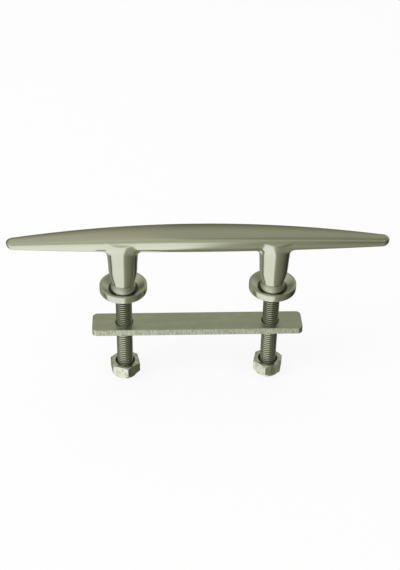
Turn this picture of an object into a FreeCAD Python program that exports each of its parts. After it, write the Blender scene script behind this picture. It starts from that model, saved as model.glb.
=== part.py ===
import FreeCAD, Part
import math
import os

import Sketcher
from FreeCAD import Placement, Rotation, Vector

# Two-leg stud-mount boat cleat, lengths in millimetres.
# The origin is on the deck face, midway between the two studs.
# +X runs along the horns and +Z points up. The two sides are alike.

# Driving dimensions: name, value, meaning
SIZES = [
    ("overall_length", 225.0, "horn tip to horn tip"),
    ("stud_distance", 90.0, "between the stud axes"),
    ("bar_half_width", 9.7, "half the bar's width at mid-length"),
    ("bar_crown", 3.3, "rise of the top face above the bar's edge at mid-length"),
    ("bar_depth", 11.0, "drop of the underside below the edge at mid-length"),
    ("edge_height", 40.4, "height of the bar's edge over the deck at mid-length"),
    ("tip_half_width", 4.0, "half the bar's width at the tip"),
    ("tip_overlap", 0.3, "how far the bar's end reaches into its round tip"),
    ("tip_proud", 0.02, "how much fuller the round tip is than the bar's end"),
    ("tip_crown", 2.2, "rise of the top face at the tip"),
    ("tip_depth", 4.5, "drop of the underside at the tip"),
    ("tip_droop", 4.9, "how far the bar's edge falls from mid-length to a tip"),
    ("leg_half_width", 8.7, "half the leg's width along the bar, at mid-height"),
    ("leg_side_inset", 0.8, "how much narrower than the bar a leg's side is across it"),
    ("leg_mid_height", 19.0, "height over the deck where the leg is measured"),
    ("leg_root_spread", 0.8, "how far the leg's sides spread at the bar's underside"),
    ("shoulder_height", 13.0, "height where the leg starts to narrow to its neck"),
    ("shoulder_inset", 0.5, "how much narrower each side is at the shoulder"),
    ("neck_radius", 6.3, "radius of the neck over the foot"),
    ("neck_height", 6.3, "height of the neck over the deck"),
    ("foot_radius", 7.3, "radius of the bulged foot"),
    ("foot_height", 3.9, "height where the foot is widest"),
    ("foot_end_radius", 6.3, "radius of the foot's flat end"),
    ("leg_root_drop", 8.8, "height of a leg's root below the top of the leg"),
    ("root_fillet", 3.0, "fillet between a leg and the bar"),
    ("stud_radius", 4.95, "outside radius of the stud's thread"),
    ("stud_drop", 63.9, "how far a stud reaches below the deck face"),
    ("stud_engagement", 18.0, "length of stud inside the leg"),
    ("stud_chamfer", 1.0, "chamfer at each end of a stud"),
    ("thread_clearance", 0.05, "radial gap round a stud in its leg and its nut"),
    ("ring_radius", 14.3, "outer radius of a deck ring"),
    ("ring_thickness", 5.0, "height of a deck ring"),
    ("ring_rim_width", 0.8, "width of the flat rim on top of a deck ring"),
    ("ring_floor", 0.9, "thickness of the floor that the foot seats on"),
    ("ring_dish_radius", 9.1, "radius of the dish at its inner edge"),
    ("ring_seat_depth", 1.0, "drop from the dish's inner edge to the floor"),
    ("ring_edge_round", 1.2, "rounding of a deck ring's lower outer edge"),
    ("ring_rim_round", 0.5, "rounding of a deck ring's upper outer edge"),
    ("ring_hole_clearance", 0.5, "radial gap round the stud in a deck ring"),
    ("foot_seat_gap", 0.05, "gap between a foot and its deck ring"),
    ("plate_overhang", 19.5, "how far the backing plate reaches past a stud's axis"),
    ("plate_width", 17.5, "width of the backing plate"),
    ("plate_thickness", 4.4, "thickness of the backing plate"),
    ("plate_corner", 3.0, "corner radius of the backing plate"),
    ("plate_edge_break", 0.3, "broken edge round the backing plate"),
    ("plate_drop", 23.7, "plate top below the deck face as shown"),
    ("plate_hole_clearance", 0.55, "radial gap round the stud in the plate"),
    ("nut_across_flats", 17.0, "wrench size of a nut"),
    ("nut_height", 10.0, "whole height of a nut with its collar"),
    ("nut_hex_height", 7.2, "height of a nut's hexagon"),
    ("nut_collar_radius", 7.5, "outer radius of a nut's collar"),
    ("nut_collar_round", 1.3, "rounding of a collar's rim"),
    ("nut_mouth", 0.8, "countersink at a nut's bore"),
    ("nut_corner_drop", 0.8, "height over which the hexagon's corners are turned off"),
    ("nut_lip", 0.7, "thickness of the lip that holds the insert"),
    ("nut_lip_radius", 5.8, "radius of the opening in that lip"),
    ("left_nut_turn", 11.0, "turn of the left nut as shown, in degrees"),
    ("right_nut_turn", -13.0, "turn of the right nut as shown, in degrees"),
    ("insert_height", 2.4, "height of a nylon insert"),
    ("insert_radius", 6.4, "outer radius of a nylon insert"),
    ("insert_clearance", 0.05, "gap round an insert in its groove"),
]

SIDES = [(-1, "left"), (1, "right")]
# Stations of the bar's sections, as shares of the half length inside its round tips
BAR_STATIONS = [-1.0, -0.75, -0.5, -0.25, 0.0, 0.25, 0.5, 0.75, 1.0]

doc = FreeCAD.newDocument("boat_cleat")
sheet = doc.addObject("Spreadsheet::Sheet", "sizes")
for row, (alias, value, meaning) in enumerate(SIZES, start=1):
    sheet.set("A%d" % row, alias)
    sheet.set("B%d" % row, str(value))
    sheet.set("C%d" % row, meaning)
    sheet.setAlias("B%d" % row, alias)
doc.recompute()


def size(alias):
    """The value of one named cell."""
    return float(sheet.get(alias))


def evaluate(expression):
    """The value of an expression over the sheet's cells."""
    return float(sheet.evalExpression(expression))


def new_body(label):
    body = doc.addObject("PartDesign::Body", label)
    body.Label = label
    return body


def origin_plane(body, role):
    for feature in body.Origin.OriginFeatures:
        if feature.Role == role:
            return feature
    raise RuntimeError("no plane " + role)


def new_sketch(body, name, role, height=None):
    """A sketch on one of the body's own planes, moved along its normal by an expression."""
    sketch = body.newObject("Sketcher::SketchObject", name)
    sketch.AttachmentSupport = [(origin_plane(body, role), "")]
    sketch.MapMode = "FlatFace"
    if height is not None:
        sketch.setExpression("AttachmentOffset.Base.z", height)
    return sketch


def bind(sketch, kind, places, name, expression):
    """One named dimension of a sketch, driven by the sheet."""
    index = sketch.addConstraint(Sketcher.Constraint(kind, *places, evaluate(expression)))
    sketch.renameConstraint(index, name)
    sketch.setExpression("Constraints." + name, expression)


def bind_point(sketch, geometry, end, name, across, along):
    """Place a point of the sketch; an expression of 0 puts it on that axis."""
    if across == "0":
        sketch.addConstraint(Sketcher.Constraint("PointOnObject", geometry, end, -2))
    else:
        bind(sketch, "DistanceX", (-1, 1, geometry, end), "across_" + name, across)
    if along == "0":
        sketch.addConstraint(Sketcher.Constraint("PointOnObject", geometry, end, -1))
    else:
        bind(sketch, "DistanceY", (-1, 1, geometry, end), "along_" + name, along)


def add_circle(sketch, name, radius, across="0", along="0"):
    centre = Vector(evaluate(across), evaluate(along), 0)
    circle = sketch.addGeometry(Part.Circle(centre, Vector(0, 0, 1), evaluate(radius)))
    bind(sketch, "Radius", (circle,), "radius_" + name, radius)
    bind_point(sketch, circle, 3, name, across, along)
    return circle


def add_outline(sketch, points):
    """A closed outline of straight sides through (across, along) expressions."""
    corners = [Vector(evaluate(across), evaluate(along), 0) for across, along in points]
    count = len(points)
    for k in range(count):
        sketch.addGeometry(Part.LineSegment(corners[k], corners[(k + 1) % count]))
    for k in range(count):
        sketch.addConstraint(Sketcher.Constraint("Coincident", k, 2, (k + 1) % count, 1))
    for k, (across, along) in enumerate(points):
        bind_point(sketch, k, 1, "corner_%d" % k, across, along)


def expose_axes(sketch, curve, is_wide):
    """Show an ellipse's two axes and give back the one across the sketch, then the other."""
    first = sketch.GeometryCount
    sketch.exposeInternalGeometry(curve)
    across, along = (first, first + 1) if is_wide else (first + 1, first)
    sketch.addConstraint(Sketcher.Constraint("Horizontal", across))
    return across, along


def add_ellipse(sketch, name, half_across, half_along, across):
    """A whole ellipse on the sketch's horizontal axis."""
    wide, tall = evaluate(half_across), evaluate(half_along)
    centre = Vector(evaluate(across), 0, 0)
    side, top = centre + Vector(wide, 0, 0), centre + Vector(0, tall, 0)
    is_wide = wide >= tall
    ellipse = Part.Ellipse(side, top, centre) if is_wide else Part.Ellipse(top, side, centre)
    curve = sketch.addGeometry(ellipse)
    across_axis, along_axis = expose_axes(sketch, curve, is_wide)
    bind_point(sketch, curve, 3, name, across, "0")
    bind(sketch, "Distance", (across_axis,), "width_" + name, "2 * (%s)" % half_across)
    bind(sketch, "Distance", (along_axis,), "depth_" + name, "2 * (%s)" % half_along)


def add_ellipse_arc(sketch, name, half_across, rise, height, first_quarter, quarters):
    """Part of an ellipse on the sketch's vertical axis, in quarters from its right end."""
    wide, tall = evaluate(half_across), evaluate(rise)
    centre = Vector(0, evaluate(height), 0)
    start = first_quarter * math.pi / 2
    is_wide = wide >= tall
    if is_wide:
        ellipse = Part.Ellipse(centre + Vector(wide, 0, 0), centre + Vector(0, tall, 0), centre)
    else:
        ellipse = Part.Ellipse(centre + Vector(0, tall, 0), centre - Vector(wide, 0, 0), centre)
        start -= math.pi / 2
    curve = sketch.addGeometry(Part.ArcOfEllipse(ellipse, start, start + quarters * math.pi / 2))
    axes = expose_axes(sketch, curve, is_wide)
    bind_point(sketch, curve, 3, name, "0", height)
    bind(sketch, "Distance", (axes[0],), "width_" + name, "2 * (%s)" % half_across)
    bind(sketch, "Distance", (axes[1],), "rise_" + name, "2 * (%s)" % rise)
    sketch.addConstraint(Sketcher.Constraint("PointOnObject", curve, 1, axes[first_quarter % 2]))
    sketch.addConstraint(Sketcher.Constraint("PointOnObject", curve, 2, axes[(first_quarter + quarters) % 2]))
    return curve


def revolve(body, sketch, name):
    """Turn a profile once round the sketch's vertical axis."""
    feature = body.newObject("PartDesign::Revolution", name)
    feature.Profile = sketch
    feature.ReferenceAxis = (sketch, ["V_Axis"])
    feature.Angle = 360
    body.Tip = feature
    return feature


def loft(body, sections, name):
    feature = body.newObject("PartDesign::AdditiveLoft", name)
    feature.Profile = sections[0]
    feature.Sections = sections[1:]
    body.Tip = feature
    return feature


def pad(body, sketch, name, length):
    feature = body.newObject("PartDesign::Pad", name)
    feature.Profile = sketch
    feature.setExpression("Length", length)
    body.Tip = feature
    return feature


def pocket_through(body, sketch, name):
    """Cut a sketch's outline through the whole body, both ways."""
    feature = body.newObject("PartDesign::Pocket", name)
    feature.Profile = sketch
    feature.Type = "ThroughAll"
    feature.Midplane = True
    body.Tip = feature
    return feature


def dress(body, kind, name, edges, dimension, expression):
    """A fillet or chamfer on chosen edges of the body's last feature."""
    base = body.Tip
    feature = body.newObject("PartDesign::" + kind, name)
    feature.Base = (base, edges)
    feature.setExpression(dimension, expression)
    body.Tip = feature
    doc.recompute()
    return feature


def edges_where(shape, test):
    """Names of the edges that a test picks by their bounding box."""
    return ["Edge%d" % (k + 1) for k, edge in enumerate(shape.Edges) if test(edge.BoundBox)]


def parabola(share, tip, middle):
    """A size of the bar at a share of its half length, full at mid-length."""
    return "(%s + (sizes.%s - %s) * (1 - (%s) ^ 2))" % (tip, middle, tip, share)


def end_size(name):
    """A size of the bar's end section, which is just inside the round tip."""
    return "(sizes.%s - sizes.tip_proud)" % name


def tip_height():
    """Height of the bar's edge over the deck at a tip."""
    return "(sizes.edge_height - sizes.tip_droop)"


def round_end_place():
    """Where the upright axis of a round tip stands."""
    return "(sizes.overall_length / 2 - sizes.tip_half_width)"


def bar_reach():
    """Where the bar's last section is, a little inside its round tip."""
    return "(%s + sizes.tip_overlap)" % round_end_place()


def bar_section(body, name, share):
    """A section of the bar: a low half ellipse over a deep one of the same width."""
    sketch = new_sketch(body, name, "YZ_Plane", "%s * %g" % (bar_reach(), share))
    width = parabola(share, end_size("tip_half_width"), "bar_half_width")
    crown = parabola(share, end_size("tip_crown"), "bar_crown")
    depth = parabola(share, end_size("tip_depth"), "bar_depth")
    height = parabola(share, tip_height(), "edge_height")
    add_ellipse_arc(sketch, "crown", width, crown, height, 0, 2)
    add_ellipse_arc(sketch, "belly", width, depth, height, 2, 2)
    return sketch


def build_round_tip(body, side, name):
    """The bar's last section turned about a vertical axis, which rounds the tip."""
    sketch = new_sketch(body, name + "_profile", "XZ_Plane")
    sketch.setExpression("AttachmentOffset.Base.x", "%s * %d" % (round_end_place(), side))
    width, height = "sizes.tip_half_width", tip_height()
    top = height + " + sizes.tip_crown"
    bottom = height + " - sizes.tip_depth"
    # The profile faces the bar, so the turned face's seam is buried in it
    half_turn = Rotation(Vector(0, 1, 0), 90 + 90 * side)
    sketch.AttachmentOffset = Placement(sketch.AttachmentOffset.Base, half_turn)
    add_ellipse_arc(sketch, "crown", width, "sizes.tip_crown", height, 0, 1)
    add_ellipse_arc(sketch, "belly", width, "sizes.tip_depth", height, 3, 1)
    axis = sketch.addGeometry(Part.LineSegment(Vector(0, evaluate(top), 0), Vector(0, evaluate(bottom), 0)))
    bind_point(sketch, axis, 1, "top", "0", top)
    bind_point(sketch, axis, 2, "bottom", "0", bottom)
    revolve(body, sketch, name)


def leg_centre(side):
    return "sizes.stud_distance / 2 * %d" % side


def build_leg(body, side, name):
    """A leg that stands on a bulged foot and runs up into the bar."""
    centre = leg_centre(side)
    share = "sizes.stud_distance / (2 * %s)" % bar_reach()
    buried = parabola(share, tip_height(), "edge_height")
    root = "(%s - sizes.leg_root_drop)" % buried
    wide = "sizes.leg_half_width"
    spread = wide + " + sizes.leg_root_spread"
    deep = "(%s - sizes.leg_side_inset)" % parabola(share, "sizes.tip_half_width", "bar_half_width")
    inset = " - sizes.shoulder_inset"
    places = [
        ("neck", "sizes.neck_height", "sizes.neck_radius", "sizes.neck_radius"),
        ("shoulder", "sizes.shoulder_height", wide + inset, deep + inset),
        ("middle", "sizes.leg_mid_height", wide, deep),
        ("root", root, spread, deep),
        ("buried", buried, spread, deep),
    ]
    sections = []
    for place, height, half_across, half_along in places:
        sketch = new_sketch(body, "%s_%s" % (name, place), "XY_Plane", height)
        if half_across == half_along:
            add_circle(sketch, place, half_across, centre)
        else:
            add_ellipse(sketch, place, half_across, half_along, centre)
        sections.append(sketch)
    return loft(body, sections, name)


def foot_bottom():
    return "(sizes.ring_floor + sizes.foot_seat_gap)"


def stud_top():
    return "(%s + sizes.stud_engagement)" % foot_bottom()


def build_foot(body, side, name):
    """The bulged foot under a leg, turned about the stud's axis."""
    sketch = new_sketch(body, name + "_profile", "XZ_Plane")
    sketch.setExpression("AttachmentOffset.Base.x", leg_centre(side))
    end = ("sizes.foot_end_radius", foot_bottom())
    widest = ("sizes.foot_radius", "sizes.foot_height")
    neck = ("sizes.neck_radius", "sizes.neck_height")
    corners = [neck, ("0", neck[1]), ("0", end[1]), end]
    points = [Vector(evaluate(across), evaluate(along), 0) for across, along in corners]
    for k in range(3):
        sketch.addGeometry(Part.LineSegment(points[k], points[k + 1]))
        bind_point(sketch, k, 1, "corner_%d" % k, *corners[k])
    bind_point(sketch, 2, 2, "corner_3", *end)
    sketch.addConstraint(Sketcher.Constraint("Coincident", 0, 2, 1, 1))
    sketch.addConstraint(Sketcher.Constraint("Coincident", 1, 2, 2, 1))
    middle = Vector(evaluate(widest[0]), evaluate(widest[1]), 0)
    bulge = sketch.addGeometry(Part.Arc(points[3], middle, points[0]))
    on_bulge = sketch.addGeometry(Part.Point(middle), True)
    bind_point(sketch, on_bulge, 1, "widest", *widest)
    sketch.addConstraint(Sketcher.Constraint("Coincident", bulge, 1, 2, 2))
    sketch.addConstraint(Sketcher.Constraint("Coincident", bulge, 2, 0, 1))
    sketch.addConstraint(Sketcher.Constraint("PointOnObject", on_bulge, 1, bulge))
    revolve(body, sketch, name)


def bore_leg(body, side, name):
    """A blind hole for the stud, with the cone that a drill leaves."""
    radius = "sizes.stud_radius + sizes.thread_clearance"
    top = stud_top() + " + sizes.stud_chamfer"
    outline = [
        ("0", foot_bottom()),
        (radius, foot_bottom()),
        (radius, top),
        ("0", top + " + (%s) / 2" % radius),
    ]
    sketch = new_sketch(body, name + "_profile", "XZ_Plane")
    sketch.setExpression("AttachmentOffset.Base.x", leg_centre(side))
    add_outline(sketch, outline)
    turn_out(body, sketch, name)


def round_leg_roots(body):
    """Fillet the seams where the legs run into the bar."""
    neck = size("neck_height")
    spacing = size("stud_distance") / 2
    reach = size("leg_half_width")

    def is_root(box):
        near_leg = abs(abs(box.Center.x) - spacing) < reach
        return near_leg and box.ZMin > neck + reach and reach < box.XLength < 4 * reach

    dress(body, "Fillet", "root_fillet", edges_where(body.Tip.Shape, is_root), "Radius", "sizes.root_fillet")


def build_cleat_body():
    """The casting: bar, two legs and two feet, with a blind hole for each stud."""
    body = new_body("cleat_body")
    sections = [bar_section(body, "bar_section_%d" % k, share) for k, share in enumerate(BAR_STATIONS)]
    loft(body, sections, "bar")
    for side, word in SIDES:
        build_round_tip(body, side, word + "_tip")
    for side, word in SIDES:
        build_leg(body, side, word + "_leg")
    doc.recompute()
    round_leg_roots(body)
    for side, word in SIDES:
        build_foot(body, side, word + "_foot")
        bore_leg(body, side, word + "_bore")


def build_stud(side, word):
    """A threaded stud, screwed into its leg; the thread is left plain here."""
    body = new_body(word + "_stud")
    body.setExpression("Placement.Base.x", leg_centre(side))
    sketch = new_sketch(body, word + "_stud_section", "XY_Plane", "-sizes.stud_drop")
    add_circle(sketch, "stud", "sizes.stud_radius")
    pad(body, sketch, word + "_stud_rod", "sizes.stud_drop + " + stud_top())
    doc.recompute()
    rims = edges_where(body.Tip.Shape, lambda box: box.ZLength < 1e-3)
    dress(body, "Chamfer", word + "_stud_ends", rims, "Size", "sizes.stud_chamfer")


def build_ring(side, word):
    """A dished deck ring: the foot seats on its floor and the stud runs through it."""
    body = new_body(word + "_deck_ring")
    body.setExpression("Placement.Base.x", leg_centre(side))
    hole = "sizes.stud_radius + sizes.ring_hole_clearance"
    outline = [
        (hole, "0"),
        ("sizes.ring_radius", "0"),
        ("sizes.ring_radius", "sizes.ring_thickness"),
        ("sizes.ring_radius - sizes.ring_rim_width - sizes.ring_rim_round", "sizes.ring_thickness"),
        ("sizes.ring_dish_radius", "sizes.ring_floor + sizes.ring_seat_depth"),
        ("sizes.ring_dish_radius", "sizes.ring_floor"),
        (hole, "sizes.ring_floor"),
    ]
    sketch = new_sketch(body, word + "_ring_profile", "XZ_Plane")
    add_outline(sketch, outline)
    revolve(body, sketch, word + "_ring_turned")
    doc.recompute()
    radius = size("ring_radius")
    for name, height in (("rim", size("ring_thickness")), ("edge", 0.0)):
        rims = edges_where(body.Tip.Shape, lambda box: is_rim(box, radius, height))
        dress(body, "Fillet", "%s_ring_%s" % (word, name), rims, "Radius", "sizes.ring_%s_round" % name)


def is_rim(box, radius, height):
    """Whether an edge is a whole circle of this radius at this height."""
    is_flat = box.ZLength < 1e-3 and abs(box.ZMin - height) < 1e-3
    return is_flat and abs(box.XLength - 2 * radius) < 1e-2


def build_plate():
    """The flat backing plate, with its corners rounded and a hole for each stud."""
    body = new_body("backing_plate")
    body.setExpression("Placement.Base.z", "-sizes.plate_drop - sizes.plate_thickness")
    half_length = "(sizes.stud_distance / 2 + sizes.plate_overhang)"
    half_width = "sizes.plate_width / 2"
    outline = [
        ("-" + half_length, "-" + half_width),
        (half_length, "-" + half_width),
        (half_length, half_width),
        ("-" + half_length, half_width),
    ]
    sketch = new_sketch(body, "plate_outline", "XY_Plane")
    add_outline(sketch, outline)
    pad(body, sketch, "plate_blank", "sizes.plate_thickness")
    doc.recompute()
    corners = edges_where(body.Tip.Shape, lambda box: box.ZLength > 1e-3)
    dress(body, "Fillet", "plate_corners", corners, "Radius", "sizes.plate_corner")
    faces = edges_where(body.Tip.Shape, lambda box: box.ZLength < 1e-3)
    dress(body, "Chamfer", "plate_edges", faces, "Size", "sizes.plate_edge_break")
    holes = new_sketch(body, "plate_holes", "XY_Plane")
    for side, word in SIDES:
        add_circle(holes, word, "sizes.stud_radius + sizes.plate_hole_clearance", leg_centre(side))
    pocket_through(body, holes, "plate_drilled")


def nut_body(side, word, kind):
    """An empty body whose local origin is the middle of the nut's upper face."""
    body = new_body("%s_%s" % (word, kind))
    body.setExpression("Placement.Base.x", leg_centre(side))
    body.setExpression("Placement.Base.z", "sizes.nut_height - sizes.stud_drop")
    return body


def lip_top():
    return "(sizes.nut_lip - sizes.nut_height)"


def groove_top():
    return "(%s + sizes.insert_height + 2 * sizes.insert_clearance)" % lip_top()


def build_nut(side, word):
    """A lock nut: a hexagon over a round collar that holds the nylon insert."""
    body = nut_body(side, word, "nut")
    body.setExpression("Placement.Rotation.Angle", "sizes.%s_nut_turn" % word)
    flat, corner = "sizes.nut_across_flats / 2", "sizes.nut_across_flats / sqrt(3)"
    outline = [
        ("0", "-" + corner),
        (flat, "-%s / 2" % corner),
        (flat, "%s / 2" % corner),
        ("0", corner),
        ("-" + flat, "%s / 2" % corner),
        ("-" + flat, "-%s / 2" % corner),
    ]
    hexagon = new_sketch(body, word + "_nut_hexagon", "XY_Plane", "-sizes.nut_hex_height")
    add_outline(hexagon, outline)
    pad(body, hexagon, word + "_nut_hex", "sizes.nut_hex_height")
    turn_off_corners(body, word, flat, corner)
    collar = new_sketch(body, word + "_nut_collar_section", "XY_Plane", "-sizes.nut_height")
    add_circle(collar, "collar", "sizes.nut_collar_radius")
    pad(body, collar, word + "_nut_collar", "sizes.nut_height - sizes.nut_hex_height / 2")
    doc.recompute()
    rims = edges_where(body.Tip.Shape, lambda box: is_rim(box, size("nut_collar_radius"), -size("nut_height")))
    dress(body, "Fillet", word + "_nut_collar_rim", rims, "Radius", "sizes.nut_collar_round")
    bore_nut(body, word)


def turn_off_corners(body, word, flat, corner):
    """Cut the hexagon's corners back to a cone at both of its ends."""
    outer = corner + " + 1"
    drop = "sizes.nut_corner_drop"
    slope = "(%s) * (%s - %s) / (%s - %s)" % (drop, outer, flat, corner, flat)
    ends = [("top", "0", "-(%s)" % slope)]
    low = "-sizes.nut_hex_height"
    ends.append(("base", low, "%s + %s" % (low, slope)))
    for name, start, finish in ends:
        sketch = new_sketch(body, "%s_nut_%s_cone" % (word, name), "XZ_Plane")
        add_outline(sketch, [(flat, start), (outer, start), (outer, finish)])
        turn_out(body, sketch, "%s_nut_%s_turned" % (word, name))


def bore_nut(body, word):
    """The bore, its countersunk mouth, and the groove that the insert sits in."""
    bore = "sizes.stud_radius + sizes.thread_clearance"
    groove = "sizes.insert_radius + sizes.insert_clearance"
    outline = [
        ("0", "0"),
        (bore + " + sizes.nut_mouth", "0"),
        (bore, "-sizes.nut_mouth"),
        (bore, groove_top()),
        (groove, groove_top()),
        (groove, lip_top()),
        ("sizes.nut_lip_radius", lip_top()),
        ("sizes.nut_lip_radius", "-sizes.nut_height"),
        ("0", "-sizes.nut_height"),
    ]
    sketch = new_sketch(body, word + "_nut_bore_profile", "XZ_Plane")
    add_outline(sketch, outline)
    turn_out(body, sketch, word + "_nut_bore")


def build_insert(side, word):
    """The nylon ring that grips the stud's thread."""
    body = nut_body(side, word, "nut_insert")
    bore = "sizes.stud_radius + sizes.thread_clearance"
    low = lip_top() + " + sizes.insert_clearance"
    high = low + " + sizes.insert_height"
    outline = [(bore, low), ("sizes.insert_radius", low), ("sizes.insert_radius", high), (bore, high)]
    sketch = new_sketch(body, word + "_insert_profile", "XZ_Plane")
    add_outline(sketch, outline)
    revolve(body, sketch, word + "_insert_ring")


def turn_out(body, sketch, name):
    """Cut a profile out all round the sketch's vertical axis."""
    feature = body.newObject("PartDesign::Groove", name)
    feature.Profile = sketch
    feature.ReferenceAxis = (sketch, ["V_Axis"])
    feature.Angle = 360
    body.Tip = feature
    return feature


def check_document():
    """Stop on any failed object and on any sub-part with no sound solid."""
    for item in doc.Objects:
        if "Invalid" in item.State or "Error" in item.State:
            raise RuntimeError("%s failed: %s" % (item.Label, item.State))
    for body in sub_parts():
        if body.Shape.isNull() or not body.Shape.isValid() or len(body.Shape.Solids) != 1:
            raise RuntimeError(body.Label + " is not one sound solid")


def sub_parts():
    return [item for item in doc.Objects if item.TypeId == "PartDesign::Body"]


def write_parts():
    os.makedirs("parts", exist_ok=True)
    for body in sub_parts():
        body.Shape.exportStep("parts/%s.step" % body.Label)
        box = body.Shape.optimalBoundingBox()
        low = ", ".join("%.2f" % v for v in (box.XMin, box.YMin, box.ZMin))
        high = ", ".join("%.2f" % v for v in (box.XMax, box.YMax, box.ZMax))
        print("%s: %.1f mm3 from (%s) to (%s)" % (body.Label, body.Shape.Volume, low, high))


build_cleat_body()
for side, word in SIDES:
    build_stud(side, word)
    build_ring(side, word)
build_plate()
for side, word in SIDES:
    build_nut(side, word)
    build_insert(side, word)
doc.recompute()
check_document()
write_parts()
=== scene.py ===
import math

import bpy
import numpy as np
from bpy.props import FloatProperty, FloatVectorProperty, IntProperty, PointerProperty
from mathutils import Matrix, Vector


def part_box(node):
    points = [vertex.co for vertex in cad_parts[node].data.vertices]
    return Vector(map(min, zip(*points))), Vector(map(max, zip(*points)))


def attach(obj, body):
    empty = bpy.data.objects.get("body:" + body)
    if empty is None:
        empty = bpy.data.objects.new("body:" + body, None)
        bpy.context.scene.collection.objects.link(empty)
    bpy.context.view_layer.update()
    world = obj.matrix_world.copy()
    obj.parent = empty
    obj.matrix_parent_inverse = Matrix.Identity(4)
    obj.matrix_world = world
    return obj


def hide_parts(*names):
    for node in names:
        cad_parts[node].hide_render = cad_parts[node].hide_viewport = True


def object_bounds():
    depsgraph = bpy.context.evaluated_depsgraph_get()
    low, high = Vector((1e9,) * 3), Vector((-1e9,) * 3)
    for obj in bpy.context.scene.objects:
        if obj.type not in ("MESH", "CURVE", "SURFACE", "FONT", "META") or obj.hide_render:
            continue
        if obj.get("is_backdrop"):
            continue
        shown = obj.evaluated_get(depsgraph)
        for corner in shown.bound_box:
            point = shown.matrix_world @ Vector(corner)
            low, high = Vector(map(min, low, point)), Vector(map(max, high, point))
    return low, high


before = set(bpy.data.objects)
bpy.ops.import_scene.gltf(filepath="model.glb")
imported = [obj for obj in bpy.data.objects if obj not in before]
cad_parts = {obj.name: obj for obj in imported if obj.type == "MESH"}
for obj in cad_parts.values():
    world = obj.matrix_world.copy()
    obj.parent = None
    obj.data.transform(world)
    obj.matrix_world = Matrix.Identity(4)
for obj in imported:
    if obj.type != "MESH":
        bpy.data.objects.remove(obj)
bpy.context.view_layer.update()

bl_info = {
    "name": "Boat Cleat Dressing",
    "version": (1, 0, 0),
    "blender": (4, 5, 0),
    "location": "3D View > Sidebar > Cleat",
    "description": "Dresses a stud-mount boat cleat with its cast bar, threads, rings and studio",
    "category": "Object",
}

# All lengths are metres in the frame's own axes: +X along the horns, +Z up, deck face at 0
MM = 0.001
IMAGE_SIZE = (400, 570)
ROOM_RADIUS = 4.0
SIDES = ("left", "right")

BODY_LOW, BODY_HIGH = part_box("cleat_body")
STUD_LOW, STUD_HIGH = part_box("right_stud")
_, PLATE_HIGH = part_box("backing_plate")
STUD_X = (STUD_LOW.x + STUD_HIGH.x) / 2
STUD_RADIUS = (STUD_HIGH.x - STUD_LOW.x) / 2
CREASE_HEIGHT = 6.3 * MM
RING_CLEARANCE = 0.5 * MM
PLATE_HOLE_RADIUS = STUD_RADIUS + 0.55 * MM
NUT_MOUTH = 6.0 * MM
# Heights over which painted shade comes onto the studs above the plate
SHADE_LOW, SHADE_HIGH = -30 * MM, -20 * MM


# Settings that a user would change

class BodySettings(bpy.types.PropertyGroup):
    """Sizes of the casting's smooth skin."""

    half_length: FloatProperty(
        name="Half Length", description="Mid-length to a horn's tip",
        default=BODY_HIGH.x, unit="LENGTH")
    half_width: FloatProperty(
        name="Half Width", description="Half the bar's width at mid-length",
        default=BODY_HIGH.y, unit="LENGTH")
    crown: FloatProperty(
        name="Crown", description="Rise of the top face above the bar's edge at mid-length",
        default=3.3 * MM, unit="LENGTH")
    depth: FloatProperty(
        name="Depth", description="Drop of the underside below the edge at mid-length",
        default=11.0 * MM, unit="LENGTH")
    tip_half_width: FloatProperty(
        name="Tip Half Width", description="Half the bar's width where the round tip starts",
        default=4.0 * MM, unit="LENGTH")
    tip_crown: FloatProperty(
        name="Tip Crown", description="Rise of the top face at the tip",
        default=2.2 * MM, unit="LENGTH")
    tip_depth: FloatProperty(
        name="Tip Depth", description="Drop of the underside at the tip",
        default=4.5 * MM, unit="LENGTH")
    tip_droop: FloatProperty(
        name="Tip Droop", description="How far the bar's edge falls from mid-length to the tips",
        default=4.9 * MM, unit="LENGTH")
    root_blend: FloatProperty(
        name="Root Blend", description="Size of the soft blend between the legs and the bar",
        default=3.8 * MM, unit="LENGTH")
    voxel: FloatProperty(
        name="Voxel", description="Grain of the first rough mesh of the casting",
        default=0.82 * MM, unit="LENGTH")


class ThreadSettings(bpy.types.PropertyGroup):
    """Sizes of the studs' threads."""

    pitch: FloatProperty(
        name="Pitch", description="Rise of the thread in one turn",
        default=1.5 * MM, unit="LENGTH")
    depth: FloatProperty(
        name="Depth", description="Depth of the thread from crest to root",
        default=0.9 * MM, unit="LENGTH")
    chamfer: FloatProperty(
        name="Chamfer", description="Chamfer at a stud's ends",
        default=1.0 * MM, unit="LENGTH")
    steps: IntProperty(
        name="Steps", description="Straight pieces in one turn of the thread", default=56, min=12)


class RingSettings(bpy.types.PropertyGroup):
    """Sizes of the deck rings' profile."""

    rim_width: FloatProperty(
        name="Rim Width", description="Width of the flat rim",
        default=0.8 * MM, unit="LENGTH")
    floor: FloatProperty(
        name="Floor", description="Thickness under the foot's seat",
        default=0.9 * MM, unit="LENGTH")
    seat_depth: FloatProperty(
        name="Seat Depth", description="Drop from the dish's inner edge to the seat",
        default=1.0 * MM, unit="LENGTH")
    dish_radius: FloatProperty(
        name="Dish Radius", description="Radius of the dish at its inner edge",
        default=9.1 * MM, unit="LENGTH")
    edge_round: FloatProperty(
        name="Edge Round", description="Rounding of the lower outer edge",
        default=1.2 * MM, unit="LENGTH")
    rim_round: FloatProperty(
        name="Rim Round", description="Rounding of the upper outer edge",
        default=0.5 * MM, unit="LENGTH")
    brink_round: FloatProperty(
        name="Brink Round", description="Rounding where the dish drops to the seat",
        default=0.25 * MM, unit="LENGTH")


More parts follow.
